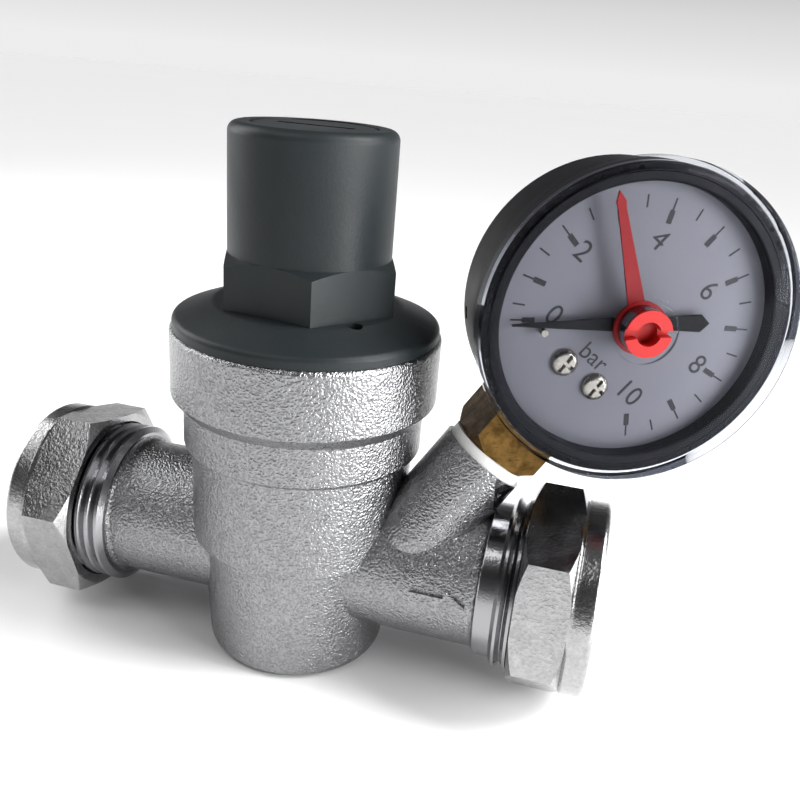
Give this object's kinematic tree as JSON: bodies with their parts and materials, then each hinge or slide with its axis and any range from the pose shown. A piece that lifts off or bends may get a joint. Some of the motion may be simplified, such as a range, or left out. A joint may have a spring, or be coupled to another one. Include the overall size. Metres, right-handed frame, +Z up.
{
  "type": "pressure reducing valve",
  "caption": "In-line pressure reducing valve with compression pipe ends, an adjusting bonnet and a dial pressure gauge that reads the outlet side.",
  "frame": {"origin": "centre of the inlet pipe socket where its cylindrical bore begins", "axes": "+X along the pipe with the flow, from inlet to outlet; +Z up the bonnet; -Y towards the gauge dial"},
  "size_m": [0.1194, 0.0444, 0.0876],
  "materials": {
    "chrome_casting": "cast, chrome plated",
    "chrome_nut": "machined, chrome plated",
    "brass": "machined",
    "gauge_brass": "tarnished",
    "bonnet_plastic": "satin slate grey",
    "cap_plastic": "satin slate grey",
    "steel": "satin",
    "rubber": "matt",
    "slip_plastic": "smooth",
    "ptfe": "smooth",
    "case_plastic": "satin black",
    "window": "clear",
    "dial": "white, printed",
    "nickel": "nickel plated",
    "movement_brass": "stamped",
    "pointer_black": "black",
    "marker_red": "red"
  },
  "bodies": {
    "valve": {"bezel_ring": "case_plastic", "bonnet": "bonnet_plastic", "bourdon_tube": "movement_brass", "cartridge_housing": "brass", "cartridge_o_ring": "rubber", "dial_plate": "dial", "dial_screws": "nickel", "dial_stop_pin": "nickel", "diaphragm": "rubber", "gauge_case": "case_plastic", "gauge_seal_washer": "ptfe", "gauge_socket": "gauge_brass", "gauge_window": "window", "movement_lower_plate": "movement_brass", "movement_pillars": "movement_brass", "movement_upper_plate": "movement_brass", "seat_ring": "steel", "setting_spring": "steel", "slip_ring": "slip_plastic", "strainer": "steel", "throttle_screw": "brass", "valve_body": "chrome_casting"},
    "inlet_ring": {"inlet_olive": "brass"},
    "inlet_nut": {"inlet_compression_nut": "chrome_nut"},
    "outlet_ring": {"outlet_olive": "brass"},
    "outlet_nut": {"outlet_compression_nut": "chrome_nut"},
    "cap": {"bonnet_cap": "cap_plastic"},
    "screw": {"adjusting_screw": "steel", "screw_clip": "steel"},
    "follower": {"spring_follower": "brass"},
    "regulator": {"stem": "steel", "stem_nut": "steel", "diaphragm_plate": "steel", "diaphragm_washer": "steel", "obturator": "brass", "obturator_seal": "rubber", "balancing_o_ring": "rubber"},
    "sector": {"sector_gear": "movement_brass"},
    "pointer": {"pinion_arbor": "movement_brass", "pressure_pointer": "pointer_black"},
    "link": {"connecting_link": "movement_brass"},
    "tip": {"tube_tip": "movement_brass"},
    "marker": {"marker_pointer": "marker_red"}
  },
  "joints": [
    {"name": "inlet_ring_slide", "type": "slide", "parent": "valve", "child": "inlet_ring", "axis": [-1, 0, 0], "range_m": [0, 0.00539]},
    {"name": "inlet_nut_turn", "type": "hinge", "parent": "inlet_ring", "child": "inlet_nut", "pos_m": [0, 0, 0], "axis": [-1, 0, 0], "range_deg": [0, 1080]},
    {"name": "outlet_ring_slide", "type": "slide", "parent": "valve", "child": "outlet_ring", "axis": [1, 0, 0], "range_m": [0, 0.00539]},
    {"name": "outlet_nut_turn", "type": "hinge", "parent": "outlet_ring", "child": "outlet_nut", "pos_m": [0.0829, 0, 0], "axis": [1, 0, 0], "range_deg": [0, 1080]},
    {"name": "cap_pull", "type": "slide", "parent": "valve", "child": "cap", "axis": [0, 0, 1], "range_m": [0, 0.008]},
    {"name": "screw_turn", "type": "hinge", "parent": "valve", "child": "screw", "pos_m": [0.0397, 0, 0.062], "axis": [0, 0, -1], "range_deg": [0, 1080]},
    {"name": "follower_slide", "type": "slide", "parent": "valve", "child": "follower", "axis": [0, 0, -1], "range_m": [0, 0.00449], "deforming": ["setting_spring"]},
    {"name": "regulator_slide", "type": "slide", "parent": "valve", "child": "regulator", "axis": [0, 0, 1], "range_m": [0, 0.0019], "stiffness_N_per_m": 2000, "springref_m": -0.002, "deforming": ["diaphragm"]},
    {"name": "sector_turn", "type": "hinge", "parent": "valve", "child": "sector", "pos_m": [0.08012, 0.00624, 0.03699], "axis": [0.3869, -0.9221, 0.009], "range_deg": [0, 45]},
    {"name": "pointer_turn", "type": "hinge", "parent": "valve", "child": "pointer", "pos_m": [0.08858, 0.00185, 0.04567], "axis": [-0.3869, 0.9221, -0.009], "range_deg": [0, 270]},
    {"name": "tip_slide", "type": "slide", "parent": "valve", "child": "tip", "axis": [0.8663, 0.3601, -0.3461], "range_m": [0, 0.00262], "stiffness_N_per_m": 200, "deforming": ["bourdon_tube"]},
    {"name": "link_turn", "type": "hinge", "parent": "sector", "child": "link", "pos_m": [0.07817, 0.00324, 0.03496], "axis": [0.3869, -0.9221, 0.009], "range_deg": [-42.82, 0]},
    {"name": "marker_turn", "type": "hinge", "parent": "valve", "child": "marker", "pos_m": [0.09036, -0.00239, 0.04571], "axis": [-0.3869, 0.9221, -0.009], "range_deg": [-74.2, 195.8]}
  ],
  "couplings": [
    {"joint": "inlet_nut_turn", "follows": "inlet_ring_slide", "rad_per_m": 3490.7},
    {"joint": "outlet_nut_turn", "follows": "outlet_ring_slide", "rad_per_m": 3490.7},
    {"joint": "screw_turn", "follows": "follower_slide", "rad_per_m": 4188.8},
    {"joint": "sector_turn", "follows": "tip_slide", "rad_per_m": 300.33},
    {"joint": "pointer_turn", "follows": "tip_slide", "rad_per_m": 1802},
    {"joint": "link_turn", "follows": "tip_slide", "rad_per_m": -284.47}
  ]
}
